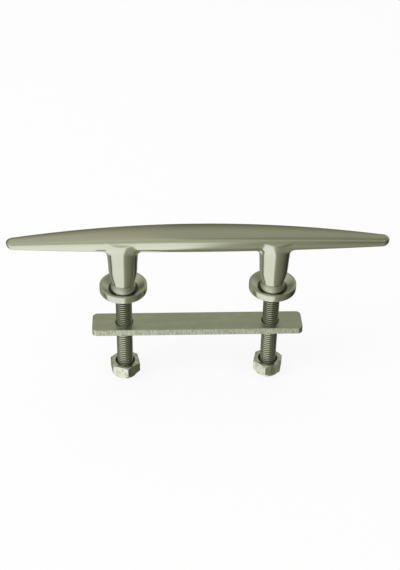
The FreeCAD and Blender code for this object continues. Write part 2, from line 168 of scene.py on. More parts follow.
class FinishSettings(bpy.types.PropertyGroup):
    """Tints of the finishes."""

    casting: FloatVectorProperty(
        name="Casting", description="Tint of the polished casting",
        subtype="COLOR", default=(0.700, 0.705, 0.665))
    ring: FloatVectorProperty(
        name="Rings", description="Tint of the turned deck rings",
        subtype="COLOR", default=(0.690, 0.695, 0.655))
    stud: FloatVectorProperty(
        name="Studs", description="Tint of the rolled threads",
        subtype="COLOR", default=(0.680, 0.690, 0.620))
    plate: FloatVectorProperty(
        name="Plate", description="Tint of the flat bar's satin faces",
        subtype="COLOR", default=(0.750, 0.780, 0.710))
    nut: FloatVectorProperty(
        name="Nuts", description="Tint of the nuts",
        subtype="COLOR", default=(0.800, 0.815, 0.770))
    nylon: FloatVectorProperty(
        name="Nylon", description="Colour of the lock rings",
        subtype="COLOR", default=(0.72, 0.76, 0.74))


class StageSettings(bpy.types.PropertyGroup):
    """Where the camera stands and looks."""

    focal_pixels: FloatProperty(
        name="Focal Length", description="Focal length in pixels of the reference frame",
        default=1143.94)
    place: FloatVectorProperty(
        name="Camera Place", description="Where the camera stands",
        subtype="TRANSLATION", default=(-0.03010, -0.55659, 0.40845))
    yaw: FloatProperty(
        name="Yaw", description="Turn of the camera to the right", subtype="ANGLE", default=0.0560)
    pitch: FloatProperty(
        name="Pitch", description="Tilt of the camera down", subtype="ANGLE", default=0.62832)
    roll: FloatProperty(
        name="Roll", description="Roll of the camera", subtype="ANGLE", default=0.0220)


# Meshes

def link_mesh(name, points, faces):
    """A new object at the origin whose mesh holds these points, with smooth faces."""
    mesh = bpy.data.meshes.new(name)
    mesh.from_pydata([tuple(point) for point in points], [], faces)
    mesh.polygons.foreach_set("use_smooth", [True] * len(mesh.polygons))
    mesh.update()
    piece = bpy.data.objects.new(name, mesh)
    bpy.context.scene.collection.objects.link(piece)
    return piece


def tube(rings):
    """Points and faces of a closed tube through rings of equal counts, with flat ends."""
    count = len(rings[0])
    points = [point for ring in rings for point in ring]
    faces = [tuple(range(count - 1, -1, -1))]
    for row in range(len(rings) - 1):
        for k in range(count):
            nxt = (k + 1) % count
            low, high = row * count, (row + 1) * count
            faces.append((low + k, low + nxt, high + nxt, high + k))
    last = (len(rings) - 1) * count
    faces.append(tuple(last + k for k in range(count)))
    return points, faces


def evaluated_copy(piece, name):
    """The piece with its modifiers applied, as a plain mesh object that replaces it."""
    bpy.context.view_layer.update()
    depsgraph = bpy.context.evaluated_depsgraph_get()
    mesh = bpy.data.meshes.new_from_object(piece.evaluated_get(depsgraph))
    bpy.data.objects.remove(piece)
    copy = bpy.data.objects.new(name, mesh)
    bpy.context.scene.collection.objects.link(copy)
    return copy


def mesh_points(mesh):
    """The mesh's points as rows of x, y and z."""
    points = np.zeros(len(mesh.vertices) * 3)
    mesh.vertices.foreach_get("co", points)
    return points.reshape(-1, 3)


# The casting's surface

class CastingForm:
    """The bar, legs and feet as one smooth field that is 0 on the skin and about a distance near it."""

    LEG_HEIGHTS = np.array([6.3, 7.6, 10.0, 13.0, 16.0, 20.0, 27.0, 36.0]) * MM
    LEG_HALF_WIDTHS = np.array([6.6, 7.0, 7.7, 8.3, 8.55, 8.72, 9.15, 9.5]) * MM
    LEG_HALF_DEPTHS = np.array([6.6, 6.5, 6.6, 6.8, 7.05, 7.4, 7.85, 7.9]) * MM
    FOOT_HEIGHTS = np.array([0.95, 1.7, 2.8, 3.9, 4.9, 5.7, 6.3]) * MM
    FOOT_RADII = np.array([6.3, 6.85, 7.25, 7.4, 7.3, 7.0, 6.6]) * MM

    def __init__(self, sizes):
        self.sizes = sizes
        self.end = sizes.half_length - sizes.tip_half_width
        self.edge = BODY_HIGH.z - sizes.crown
        self.top_of_legs = self.LEG_HEIGHTS[-1]

    def bar_laws(self, station):
        """Half width, crown, depth and edge height of the bar at a station along it."""
        soft = 1.5 * MM
        inner = self.end - np.maximum(self.end - station, 0)
        blend = np.clip((station - self.end + soft) / (2 * soft), 0, 1)
        inner = np.where(blend > 0, self.end - soft + 2 * soft * (blend - blend ** 2 / 2), inner)
        inner = np.minimum(inner, self.end)
        full = 1 - (inner / self.end) ** 2
        s = self.sizes
        half_width = s.tip_half_width + (s.half_width - s.tip_half_width) * full
        crown = s.tip_crown + (s.crown - s.tip_crown) * full
        depth = s.tip_depth + (s.depth - s.tip_depth) * full
        height = self.edge - s.tip_droop * (1 - full)
        return half_width, crown, depth, height

    def bar(self, points):
        """The horn bar: a low half ellipse over a deep one, turned round at the tips."""
        station = np.abs(points[:, 0])
        half_width, crown, depth, height = self.bar_laws(station)
        beyond = np.maximum(station - self.end, 0)
        across = np.hypot(points[:, 1], beyond)
        rise = points[:, 2] - height
        half_height = np.where(rise > 0, crown, depth)
        unit_across, unit_rise = across / half_width, rise / half_height
        reach = np.hypot(unit_across, unit_rise)
        slope = np.hypot(unit_across / half_width, unit_rise / half_height)
        return (reach - 1) * reach / np.maximum(slope, 1 / half_width)

    def leg(self, points):
        """Both legs with their feet: ellipses that follow the tables above."""
        height = points[:, 2]
        is_foot = height < self.LEG_HEIGHTS[0]
        foot = smooth_table(height, self.FOOT_HEIGHTS, self.FOOT_RADII)
        wide = np.where(is_foot, foot, smooth_table(height, self.LEG_HEIGHTS, self.LEG_HALF_WIDTHS))
        deep = np.where(is_foot, foot, smooth_table(height, self.LEG_HEIGHTS, self.LEG_HALF_DEPTHS))
        along = np.abs(points[:, 0]) - STUD_X
        unit_wide, unit_deep = along / wide, points[:, 1] / deep
        reach = np.hypot(unit_wide, unit_deep)
        slope = np.hypot(unit_wide / wide, unit_deep / deep)
        side = (reach - 1) * reach / np.maximum(slope, 1 / wide)
        ends = np.maximum(BODY_LOW.z - height, height - self.top_of_legs)
        return np.maximum(side, ends)

    def field(self, points):
        """Bar and legs in one, with a soft blend at the legs' roots."""
        return soft_least(self.bar(points), self.leg(points), self.sizes.root_blend)

    def gradient(self, points):
        """The field's slope at each point, by small steps along x, y and z."""
        step = 0.01 * MM
        slopes = []
        for axis in range(3):
            shift = np.zeros(3)
            shift[axis] = step
            slopes.append((self.field(points + shift) - self.field(points - shift)) / (2 * step))
        return np.stack(slopes, 1)

    def settle(self, points, rounds=6):
        """Move points onto the skin by Newton's steps, each held to a short length."""
        longest = 0.6 * MM
        for _ in range(rounds):
            slope = self.gradient(points)
            step = (self.field(points) / np.maximum((slope ** 2).sum(1), 0.2))[:, None] * slope
            length = np.linalg.norm(step, axis=1, keepdims=True)
            points = points - step * np.minimum(1, longest / np.maximum(length, 1e-9))
        return points


def smooth_table(value, places, sizes):
    """A curve through a short list of sizes, rounded at its corners."""
    slopes = np.gradient(sizes, places)
    value = np.clip(value, places[0], places[-1])
    k = np.clip(np.searchsorted(places, value) - 1, 0, len(places) - 2)
    span = places[k + 1] - places[k]
    t = (value - places[k]) / span
    low = (2 * t ** 3 - 3 * t ** 2 + 1) * sizes[k] + (t ** 3 - 2 * t ** 2 + t) * span * slopes[k]
    high = (3 * t ** 2 - 2 * t ** 3) * sizes[k + 1] + (t ** 3 - t ** 2) * span * slopes[k + 1]
    return low + high


def soft_least(first, second, blend):
    """The lesser of two distances, rounded where they are close."""
    near = np.maximum(blend - np.abs(first - second), 0) / blend
    return np.minimum(first, second) - blend * near ** 2 / 4


def rough_casting(form):
    """Closed shells that overlap where the legs enter the bar, close to the real skin."""
    turns = np.linspace(0, 2 * math.pi, 40, endpoint=False)
    rings = []
    tip = form.sizes.tip_half_width
    for angle in np.linspace(-math.pi / 2, math.pi / 2, 97):
        station = (form.end + 0.97 * tip) * math.sin(angle)
        half_width, crown, depth, height = form.bar_laws(np.array([abs(station)]))
        beyond = max(abs(station) - form.end, 0)
        share = math.sqrt(max(1 - (beyond / tip) ** 2, 0.04))
        across = half_width[0] * share * np.cos(turns)
        lift = np.where(np.sin(turns) > 0, crown[0], depth[0]) * share * np.sin(turns)
        rings.append([(station, a, height[0] + b) for a, b in zip(across, lift)])
    shells = [tube(rings)]
    for side in (-1, 1):
        heights = np.concatenate([form.FOOT_HEIGHTS, form.LEG_HEIGHTS[1:]])
        wide = np.concatenate([form.FOOT_RADII, form.LEG_HALF_WIDTHS[1:]])
        deep = np.concatenate([form.FOOT_RADII, form.LEG_HALF_DEPTHS[1:]])
        leg = []
        for z, a, b in zip(heights, wide, deep):
            leg.append([(side * STUD_X + a * math.cos(t), b * math.sin(t), z) for t in turns])
        shells.append(tube(leg))
    points, faces = [], []
    for shell_points, shell_faces in shells:
        start = len(points)
        points += shell_points
        faces += [tuple(start + k for k in face) for face in shell_faces]
    return points, faces


def build_casting(sizes):
    """The casting: a rough shell is made even, then settled on the smooth form at two grains."""
    form = CastingForm(sizes)
    piece = link_mesh("casting_rough", *rough_casting(form))
    remesh = piece.modifiers.new("even grain", "REMESH")
    remesh.mode = "VOXEL"
    remesh.voxel_size = sizes.voxel
    piece = evaluated_copy(piece, "casting_even")
    piece.data.vertices.foreach_set("co", form.settle(mesh_points(piece.data)).ravel())
    finer = piece.modifiers.new("finer grain", "SUBSURF")
    finer.subdivision_type = "SIMPLE"
    finer.levels = finer.render_levels = 1
    piece = evaluated_copy(piece, "casting")
    settled = form.settle(mesh_points(piece.data))
    low, high = np.array(BODY_LOW), np.array(BODY_HIGH)
    piece.data.vertices.foreach_set("co", np.clip(settled, low, high).ravel())
    piece.data.polygons.foreach_set("use_smooth", [True] * len(piece.data.polygons))
    piece.data.update()
    return piece


# Geometry node trees

class Tree:
    """A geometry node tree that is put together by short calls."""

    def __init__(self, name, inputs):
        self.tree = bpy.data.node_groups.new(name, "GeometryNodeTree")
        self.keys = {}
        for label, kind in inputs:
            item = self.tree.interface.new_socket(name=label, in_out="INPUT", socket_type=kind)
            self.keys[label] = item.identifier
        self.tree.interface.new_socket(name="Mesh", in_out="OUTPUT", socket_type="NodeSocketGeometry")
        self.given = self.tree.nodes.new("NodeGroupInput").outputs

    def node(self, kind, links=(), **settings):
        """A new node; links pairs an input's name or number with a value or a socket."""
        made = self.tree.nodes.new(kind)
        for key, value in settings.items():
            setattr(made, key, value)
        for key, value in links:
            if isinstance(value, bpy.types.NodeSocket):
                self.tree.links.new(value, made.inputs[key])
            else:
                made.inputs[key].default_value = value
        return made

    def math(self, operation, *values):
        """A math node over sockets and plain numbers."""
        return self.node("ShaderNodeMath", list(enumerate(values)), operation=operation).outputs[0]

    def finish(self, mesh, material):
        """Closes the tree: instances made real, the material set."""
        real = self.node("GeometryNodeRealizeInstances", [("Geometry", mesh)]).outputs[0]
        final = self.node("GeometryNodeSetMaterial", [("Geometry", real), ("Material", material)])
        output = self.tree.nodes.new("NodeGroupOutput")
        self.tree.links.new(final.outputs[0], output.inputs[0])


def run_tree(tree, name, values):
    """Runs a tree on an empty mesh and gives back its result as a plain piece."""
    piece = link_mesh(name + "_seed", [], [])
    modifier = piece.modifiers.new("tree", "NODES")
    modifier.node_group = tree.tree
    for label, value in values.items():
        modifier[tree.keys[label]] = value
    return evaluated_copy(piece, name)


def thread_tree():
    """A rod with a right-hand thread: a sheared grid is wrapped so its rows follow the helix."""
    tree = Tree("threaded rod", [
        ("Radius", "NodeSocketFloat"), ("Depth", "NodeSocketFloat"), ("Pitch", "NodeSocketFloat"),
        ("Low", "NodeSocketFloat"), ("High", "NodeSocketFloat"), ("Chamfer", "NodeSocketFloat"),
        ("Steps", "NodeSocketInt"), ("Across", "NodeSocketFloat"), ("Material", "NodeSocketMaterial"),
    ])
    given, do = tree.given, tree.math
    rows_per_turn, closing_turns = 8, 2
    first = do("FLOOR", do("SUBTRACT", do("DIVIDE", given["Low"], given["Pitch"]), closing_turns))
    last = do("CEIL", do("ADD", do("DIVIDE", given["High"], given["Pitch"]), closing_turns))
    turns = do("SUBTRACT", last, first)
    rows = do("ADD", do("MULTIPLY", turns, rows_per_turn), 1)
    grid = tree.node("GeometryNodeMeshGrid", [
        ("Size X", 1.0), ("Size Y", turns),
        ("Vertices X", do("ADD", given["Steps"], 1)), ("Vertices Y", rows),
    ]).outputs["Mesh"]
    place = tree.node("ShaderNodeSeparateXYZ", [(0, tree.node("GeometryNodeInputPosition").outputs[0])])
    turn = do("ADD", place.outputs["X"], 0.5)
    row = do("ADD", place.outputs["Y"], do("ADD", do("DIVIDE", turns, 2), first))
    along = do("MULTIPLY", do("ADD", row, turn), given["Pitch"])
    # The crest is worn to 3/8 of the pitch, the root is an eighth of it
    from_root = do("PINGPONG", do("SUBTRACT", row, 9 / 16), 0.5)
    height = tree.node("ShaderNodeClamp", [(0, do("DIVIDE", do("SUBTRACT", from_root, 1 / 16), 1 / 4))])
    cut = do("MULTIPLY", given["Depth"], do("SUBTRACT", 1.0, height.outputs[0]))
    thread = do("SUBTRACT", given["Radius"], cut)
    inside = do("MINIMUM", do("SUBTRACT", along, given["Low"]), do("SUBTRACT", given["High"], along))
    end_radius = do("SUBTRACT", given["Radius"], given["Chamfer"])
    cone = do("ADD", end_radius, inside)
    closing = do("MULTIPLY", end_radius, do("ADD", 1.0, do("DIVIDE", inside, given["Pitch"])))
    limit = do("MAXIMUM", do("MINIMUM", cone, closing), 0.0)
    radius = do("MINIMUM", thread, limit)
    angle = do("MULTIPLY", turn, 2 * math.pi)
    wrapped = tree.node("ShaderNodeCombineXYZ", [
        ("X", do("ADD", given["Across"], do("MULTIPLY", radius, do("COSINE", angle)))),
        ("Y", do("MULTIPLY", radius, do("SINE", angle))),
        ("Z", do("MAXIMUM", do("MINIMUM", along, given["High"]), given["Low"])),
    ]).outputs[0]
    moved = tree.node("GeometryNodeSetPosition", [("Geometry", grid), ("Position", wrapped)]).outputs[0]
    joined = tree.node("GeometryNodeMergeByDistance", [("Geometry", moved), ("Distance", 0.0005 * MM)])
    smooth = tree.node("GeometryNodeSetShadeSmooth", [("Geometry", joined.outputs[0])]).outputs[0]
    tree.finish(smooth, given["Material"])
    return tree


def turned_piece(name, outline, steps, across):
    """A closed outline of (radius, height) points turned round an upright axis."""
    count = len(outline)
    points, faces = [], []
    for k in range(steps):
        angle = 2 * math.pi * k / steps
        points += [(across + r * math.cos(angle), r * math.sin(angle), z) for r, z in outline]
        here, there = k * count, (k + 1) % steps * count
        for j in range(count):
            nxt = (j + 1) % count
            faces.append((here + j, here + nxt, there + nxt, there + j))
    return link_mesh(name, points, faces)


def corner_arc(centre, radius, start, end, count):
    """Points of an arc in a profile, from one angle to another in degrees."""
    angles = np.radians(np.linspace(start, end, count))
    return [(centre[0] + radius * math.cos(a), centre[1] + radius * math.sin(a)) for a in angles]


# Materials

def new_material(name):
    """A fresh material with its nodes, links and main shader."""
    material = bpy.data.materials.new(name)
    material.use_nodes = True
    nodes = material.node_tree.nodes
    return material, nodes, material.node_tree.links, nodes["Principled BSDF"]


def number(nodes, links, operation, *values):
    """A math node over sockets and plain numbers."""
    made = nodes.new("ShaderNodeMath")
    made.operation = operation
    for k, value in enumerate(values):
        if isinstance(value, bpy.types.NodeSocket):
            links.new(value, made.inputs[k])
        else:
            made.inputs[k].default_value = value
    return made.outputs[0]


def place_axes(nodes, links):
    """The object's own x, y and z at each point."""
    split = nodes.new("ShaderNodeSeparateXYZ")
    links.new(nodes.new("ShaderNodeTexCoord").outputs["Object"], split.inputs[0])
    return split.outputs


def noise(nodes, links, scale, detail, stretch=(1, 1, 1)):
    """Noise on the object's own coordinates, stretched along chosen axes."""
    place = nodes.new("ShaderNodeTexCoord")
    mapping = nodes.new("ShaderNodeMapping")
    mapping.inputs["Scale"].default_value = stretch
    pattern = nodes.new("ShaderNodeTexNoise")
    pattern.inputs["Scale"].default_value = scale
    pattern.inputs["Detail"].default_value = detail
    links.new(place.outputs["Object"], mapping.inputs["Vector"])
    links.new(mapping.outputs["Vector"], pattern.inputs["Vector"])
    return pattern.outputs["Fac"]


def spread(nodes, links, value, low, high, start=0.3, end=0.7):
    """A value between start and end, mapped to a range and held there."""
    ramp = nodes.new("ShaderNodeMapRange")
    ramp.inputs["From Min"].default_value = start
    ramp.inputs["From Max"].default_value = end
    ramp.inputs["To Min"].default_value = low
    ramp.inputs["To Max"].default_value = high
    links.new(value, ramp.inputs["Value"])
    return ramp.outputs["Result"]


def blend(nodes, links, share, low, high):
    """One of two colours, or a mix of them, by a share from 0 to 1."""
    mix = nodes.new("ShaderNodeMixRGB")
    for key, colour in (("Color1", low), ("Color2", high)):
        if isinstance(colour, bpy.types.NodeSocket):
            links.new(colour, mix.inputs[key])
        else:
            mix.inputs[key].default_value = (*colour, 1)
    links.new(share, mix.inputs["Fac"])
    return mix.outputs[0]


def shade(colour, share):
    """The colour times a share; above 1 it gets lighter, up to white."""
    return tuple(min(1, share * part) for part in colour)


def add_bump(nodes, links, shader, height, strength, distance):
    """Fine relief from a height, as deep as distance."""
    bump = nodes.new("ShaderNodeBump")
    bump.inputs["Strength"].default_value = strength
    bump.inputs["Distance"].default_value = distance
    links.new(height, bump.inputs["Height"])
    links.new(bump.outputs["Normal"], shader.inputs["Normal"])


def stud_reach(nodes, links):
    """Distance from the nearer stud's axis, and the height."""
    x, y, z = place_axes(nodes, links)
    across = number(nodes, links, "SUBTRACT", number(nodes, links, "ABSOLUTE", x), STUD_X)
    squares = [number(nodes, links, "MULTIPLY", side, side) for side in (across, y)]
    return number(nodes, links, "SQRT", number(nodes, links, "ADD", *squares)), z


def steel(name, rough=None):
    """Bare stainless steel; a given roughness varies slightly over the surface."""
    _, nodes, links, shader = new_material(name)
    shader.inputs["Metallic"].default_value = 1.0
    if rough:
        cloud = noise(nodes, links, 60, 3)
        links.new(spread(nodes, links, cloud, rough * 0.8, rough * 1.25), shader.inputs["Roughness"])
    return nodes, links, shader


def casting_steel(colour):
    """Mirror polish with faint streaks along the bar; painted shade at the crease over each foot, and a
    rougher finish below it.
    """
    nodes, links, shader = steel("polished casting")
    streaks = noise(nodes, links, 110, 4, (0.06, 1, 1))
    streaked = blend(nodes, links, spread(nodes, links, streaks, 0, 1), shade(colour, 0.93), colour)
    reach, height = stud_reach(nodes, links)
    from_crease = number(nodes, links, "ABSOLUTE", number(nodes, links, "SUBTRACT", height, CREASE_HEIGHT))
    near = spread(nodes, links, from_crease, 1, 0, 0, 0.5 * MM)
    low = spread(nodes, links, reach, 1, 0, 6.4 * MM, 7.4 * MM)
    # Painted shade in the crease round each foot, at 0.55 of the colour
    crease_shade = number(nodes, links, "MULTIPLY", near, low)
    links.new(blend(nodes, links, crease_shade, streaked, shade(colour, 0.55)), shader.inputs["Base Color"])
    foot = spread(nodes, links, height, 0.50, 0.12, CREASE_HEIGHT - 0.6 * MM, CREASE_HEIGHT)
    links.new(foot, shader.inputs["Roughness"])
    add_bump(nodes, links, shader, noise(nodes, links, 240, 4, (0.12, 1, 1)), 0.6, 0.006 * MM)


def ring_steel(colour):
    """Turned steel with fine rings, and painted shade on the seat under the foot."""
    nodes, links, shader = steel("turned ring", 0.15)
    reach, height = stud_reach(nodes, links)
    # The seat under the foot gets painted shade, at 0.12 of the colour
    seat = spread(nodes, links, reach, 1, 0, 9.05 * MM, 9.25 * MM)
    inside = number(nodes, links, "MULTIPLY", seat, spread(nodes, links, height, 0, 1, 0.2 * MM, 0.4 * MM))
    links.new(blend(nodes, links, inside, colour, shade(colour, 0.12)), shader.inputs["Base Color"])
    turned = number(nodes, links, "SINE", number(nodes, links, "MULTIPLY", reach, 2 * math.pi / (0.35 * MM)))
    add_bump(nodes, links, shader, turned, 0.5, 0.002 * MM)


def thread_steel(colour, depth):
    """Bright crests over roots with painted shade; above the plate, under the rings, both get more painted
    shade.
    """
    nodes, links, shader = steel("rolled thread", 0.17)
    reach, height = stud_reach(nodes, links)
    # Painted shade: roots at 0.28 of the colour, and above the plate roots at 0.04 and crests at 0.80
    above = spread(nodes, links, height, 0, 1, SHADE_LOW, SHADE_HIGH)
    root = blend(nodes, links, above, shade(colour, 0.28), shade(colour, 0.04))
    top = blend(nodes, links, above, colour, shade(colour, 0.80))
    crest = spread(nodes, links, reach, 0, 1, STUD_RADIUS - 0.35 * depth, STUD_RADIUS - 0.05 * depth)
    links.new(blend(nodes, links, crest, root, top), shader.inputs["Base Color"])
    add_bump(nodes, links, shader, noise(nodes, links, 900, 4), 0.6, 0.006 * MM)


def plate_steel(colour):
    """A satin flat bar with long rolling streaks and painted shade on its hole walls; its sides are sawn and
    coarse.
    """
    nodes, links, shader = steel("satin flat bar")
    _, y, _ = place_axes(nodes, links)
    side = spread(nodes, links, number(nodes, links, "ABSOLUTE", y), 0, 1,
                  PLATE_HIGH.y - 0.10 * MM, PLATE_HIGH.y - 0.05 * MM)
    streaks = spread(nodes, links, noise(nodes, links, 300, 5, (0.08, 1, 1)), 0, 1)
    patches = spread(nodes, links, noise(nodes, links, 320, 4, (0.6, 1, 1)), 0, 1)
    worked = number(nodes, links, "MULTIPLY", streaks, patches)
    face = blend(nodes, links, worked, shade(colour, 0.82), colour)
    spots = spread(nodes, links, noise(nodes, links, 1000, 3, (1, 1, 0.4)), 0, 1, 0.38, 0.62)
    sawn = blend(nodes, links, spots, shade(colour, 0.78), shade(colour, 1.14))
    links.new(spread(nodes, links, side, 0.34, 0.5, 0, 1), shader.inputs["Roughness"])
    reach, _ = stud_reach(nodes, links)
    # Painted shade on the holes' walls, at 0.10 of the colour
    wall = spread(nodes, links, reach, 0, 1, PLATE_HOLE_RADIUS + 0.01 * MM, PLATE_HOLE_RADIUS + 0.08 * MM)
    outside = blend(nodes, links, side, face, sawn)
    links.new(blend(nodes, links, wall, shade(colour, 0.10), outside), shader.inputs["Base Color"])
    grain = number(nodes, links, "ADD", streaks, number(nodes, links, "MULTIPLY", spots, side))
    add_bump(nodes, links, shader, grain, 0.7, 0.02 * MM)


def nut_steel(colour):
    """Bright steel with dark marks of the die, and painted shade in the mouth round the stud."""
    nodes, links, shader = steel("bright nut", 0.17)
    marks = spread(nodes, links, noise(nodes, links, 330, 2, (1, 1, 0.35)), 0, 1, 0.36, 0.50)
    marked = blend(nodes, links, marks, shade(colour, 0.66), colour)
    reach, _ = stud_reach(nodes, links)
    # Painted shade in the mouth round the stud, at 0.10 of the colour
    mouth = spread(nodes, links, reach, 0, 1, NUT_MOUTH, NUT_MOUTH + 0.4 * MM)
    links.new(blend(nodes, links, mouth, shade(colour, 0.10), marked), shader.inputs["Base Color"])
    add_bump(nodes, links, shader, noise(nodes, links, 260, 3), 0.7, 0.05 * MM)


def make_materials(finish, thread_depth):
    """One material for each finish of the cleat."""
    casting_steel(finish.casting)
    ring_steel(finish.ring)
    thread_steel(finish.stud, thread_depth)
    plate_steel(finish.plate)
    nut_steel(finish.nut)
    _, _, _, nylon = new_material("nylon")
    nylon.inputs["Base Color"].default_value = (*finish.nylon, 1)
    nylon.inputs["Roughness"].default_value = 0.45


def dress(piece, finish):
    """Give a piece one of the materials, by name."""
    piece.data.materials.clear()
    piece.data.materials.append(bpy.data.materials[finish])


# Operators

class CLEAT_OT_finishes(bpy.types.Operator):
    """Make the materials of all the pieces."""

    bl_idname = "cleat.finishes"
    bl_label = "Make Finishes"

    def execute(self, context):
        make_materials(context.scene.cleat_finish, context.scene.cleat_thread.depth)
        return {"FINISHED"}


class CLEAT_OT_casting(bpy.types.Operator):
    """Build the polished casting: bar, legs and feet in one skin."""

    bl_idname = "cleat.casting"
    bl_label = "Build Casting"

    def execute(self, context):
        piece = build_casting(context.scene.cleat_body)
        dress(piece, "polished casting")
        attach(piece, "cleat")
        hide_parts("cleat_body")
        return {"FINISHED"}


class CLEAT_OT_studs(bpy.types.Operator):
    """Cut the threads of the two studs."""

    bl_idname = "cleat.studs"
    bl_label = "Build Studs"

    def execute(self, context):
        sizes = context.scene.cleat_thread
        tree = thread_tree()
        for side in SIDES:
            node = side + "_stud"
            low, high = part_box(node)
            piece = run_tree(tree, side + "_threaded_stud", {
                "Radius": STUD_RADIUS, "Depth": sizes.depth, "Pitch": sizes.pitch,
                "Low": low.z, "High": high.z, "Chamfer": sizes.chamfer, "Steps": sizes.steps,
                "Across": (low.x + high.x) / 2, "Material": bpy.data.materials["rolled thread"],
            })
            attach(piece, "cleat")
            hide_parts(node)
        return {"FINISHED"}


class CLEAT_OT_rings(bpy.types.Operator):
    """Turn the two dished deck rings."""

    bl_idname = "cleat.rings"
    bl_label = "Build Deck Rings"

    def execute(self, context):
        sizes = context.scene.cleat_ring
        for side in SIDES:
            node = side + "_deck_ring"
            low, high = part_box(node)
            outer, top = (high.x - low.x) / 2, high.z
            hole = STUD_RADIUS + RING_CLEARANCE
            edge, rim = sizes.edge_round, sizes.rim_round
            outline = [(hole, low.z), (outer - edge - 2 * MM, low.z)]
            outline += corner_arc((outer - edge, low.z + edge), edge, -90, 0, 9)
            outline += corner_arc((outer - rim, top - rim), rim, 0, 90, 7)
            outline += corner_arc((outer - rim - sizes.rim_width, top - rim), rim, 90, 125, 4)
            brink = sizes.brink_round
            brink_centre = (sizes.dish_radius + brink, sizes.floor + sizes.seat_depth - brink)
            outline += corner_arc(brink_centre, brink, 120, 180, 4)
            outline += [(sizes.dish_radius, sizes.floor), (hole, sizes.floor)]
            piece = turned_piece(side + "_turned_ring", outline, 128, (low.x + high.x) / 2)
            piece.modifiers.new("edges", "EDGE_SPLIT").split_angle = math.radians(30)
            piece = evaluated_copy(piece, side + "_turned_ring")
            # Mirrored in the feet they would darken the legs' ends, which the photo shows bright
            piece.visible_glossy = False
            dress(piece, "turned ring")
            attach(piece, side + "_ring")
            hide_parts(node)
        return {"FINISHED"}


class CLEAT_OT_hardware(bpy.types.Operator):
    """Give the backing plate, the nuts and their nylon rings their finishes."""

    bl_idname = "cleat.hardware"
    bl_label = "Finish Hardware"

    def execute(self, context):
        dress(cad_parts["backing_plate"], "satin flat bar")
        for side in SIDES:
            dress(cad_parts[side + "_nut"], "bright nut")
            dress(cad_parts[side + "_nut_insert"], "nylon")
        return {"FINISHED"}


class CLEAT_OT_stage(bpy.types.Operator):
    """Set up the pale floor, the soft light and the camera."""

    bl_idname = "cleat.stage"
    bl_label = "Set Up Stage"

    def execute(self, context):
        stage = context.scene.cleat_stage
        add_camera(stage)
        add_floor()
        add_world()
        add_room()
        add_lamp("left softbox", (-1.2, -0.5, 1.2), (0, 0, 0), (0.9, 1.2), 12)
        context.scene.view_settings.view_transform = "Standard"
        return {"FINISHED"}


# Stage

def camera_axes(stage):
    """The camera's right, up and forward directions."""
    sin_yaw, cos_yaw = math.sin(stage.yaw), math.cos(stage.yaw)
    sin_pitch, cos_pitch = math.sin(stage.pitch), math.cos(stage.pitch)
    forward = Vector((sin_yaw * cos_pitch, cos_yaw * cos_pitch, -sin_pitch))
    level = Vector((cos_yaw, -sin_yaw, 0))
    rise = level.cross(forward)
    right = level * math.cos(stage.roll) + rise * math.sin(stage.roll)
    up = rise * math.cos(stage.roll) - level * math.sin(stage.roll)
    return right, up, forward


def add_camera(stage):
    """The camera that sees the cleat as the photo does."""
    data = bpy.data.cameras.new("camera")
    camera = bpy.data.objects.new("camera", data)
    bpy.context.scene.collection.objects.link(camera)
    data.sensor_fit = "HORIZONTAL"
    data.lens = stage.focal_pixels * data.sensor_width / IMAGE_SIZE[0]
    data.clip_start, data.clip_end = 0.01, 50
    right, up, forward = camera_axes(stage)
    turn = Matrix((right, up, -forward)).transposed().to_4x4()
    camera.matrix_world = Matrix.Translation(stage.place) @ turn
    bpy.context.scene.camera = camera


def seen_mask(nodes, links):
    """1 for rays from the camera and for those seen in metal or through glass."""
    seen = nodes.new("ShaderNodeLightPath").outputs
    mirrored = number(nodes, links, "MAXIMUM", seen["Is Glossy Ray"], seen["Is Transmission Ray"])
    return number(nodes, links, "MAXIMUM", seen["Is Camera Ray"], mirrored)


def plane(name, size):
    """A level square about the origin."""
    half = size / 2
    corners = [(-half, -half, 0), (half, -half, 0), (half, half, 0), (-half, half, 0)]
    return link_mesh(name, corners, [(0, 1, 2, 3)])


def add_floor():
    """A white floor that shows as plain white but still takes the object's shadow."""
    floor = plane("floor", 30.0)
    floor.location.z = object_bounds()[0][2] - 0.1 * MM
    _, nodes, links, shader = new_material("floor")
    shader.inputs["Base Color"].default_value = (0.86, 0.86, 0.86, 1)
    shader.inputs["Roughness"].default_value = 0.9
    shader.inputs["Specular IOR Level"].default_value = 0.0
    glow = nodes.new("ShaderNodeEmission")
    mix = nodes.new("ShaderNodeMixShader")
    links.new(number(nodes, links, "MULTIPLY", seen_mask(nodes, links), 0.85), mix.inputs["Fac"])
    links.new(shader.outputs[0], mix.inputs[1])
    links.new(glow.outputs[0], mix.inputs[2])
    links.new(mix.outputs[0], nodes["Material Output"].inputs["Surface"])
    dress(floor, "floor")
    floor.visible_glossy = False
    floor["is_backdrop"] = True


def add_world():
    """Even light from all round, which shows as plain white."""
    world = bpy.data.worlds.new("studio")
    bpy.context.scene.world = world
    world.use_nodes = True
    nodes, links = world.node_tree.nodes, world.node_tree.links
    background = nodes["Background"]
    mix = nodes.new("ShaderNodeMixRGB")
    mix.inputs["Color1"].default_value = (0.85, 0.85, 0.85, 1)
    mix.inputs["Color2"].default_value = (1, 1, 1, 1)
    links.new(seen_mask(nodes, links), mix.inputs["Fac"])
    links.new(mix.outputs[0], background.inputs["Color"])


def hide_from_all_but_metal(piece):
    """Leave a stage piece to glossy rays alone, so that it lights and shades nothing."""
    piece.visible_camera = False
    piece.visible_diffuse = False
    piece.visible_shadow = False
    piece.visible_transmission = False
    piece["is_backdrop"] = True


def tinted(tone):
    """The room's light is greenish, and more so where it is dark."""
    return 0.975 * tone, tone, tone * (0.55 + 0.30 * tone ** 0.6)


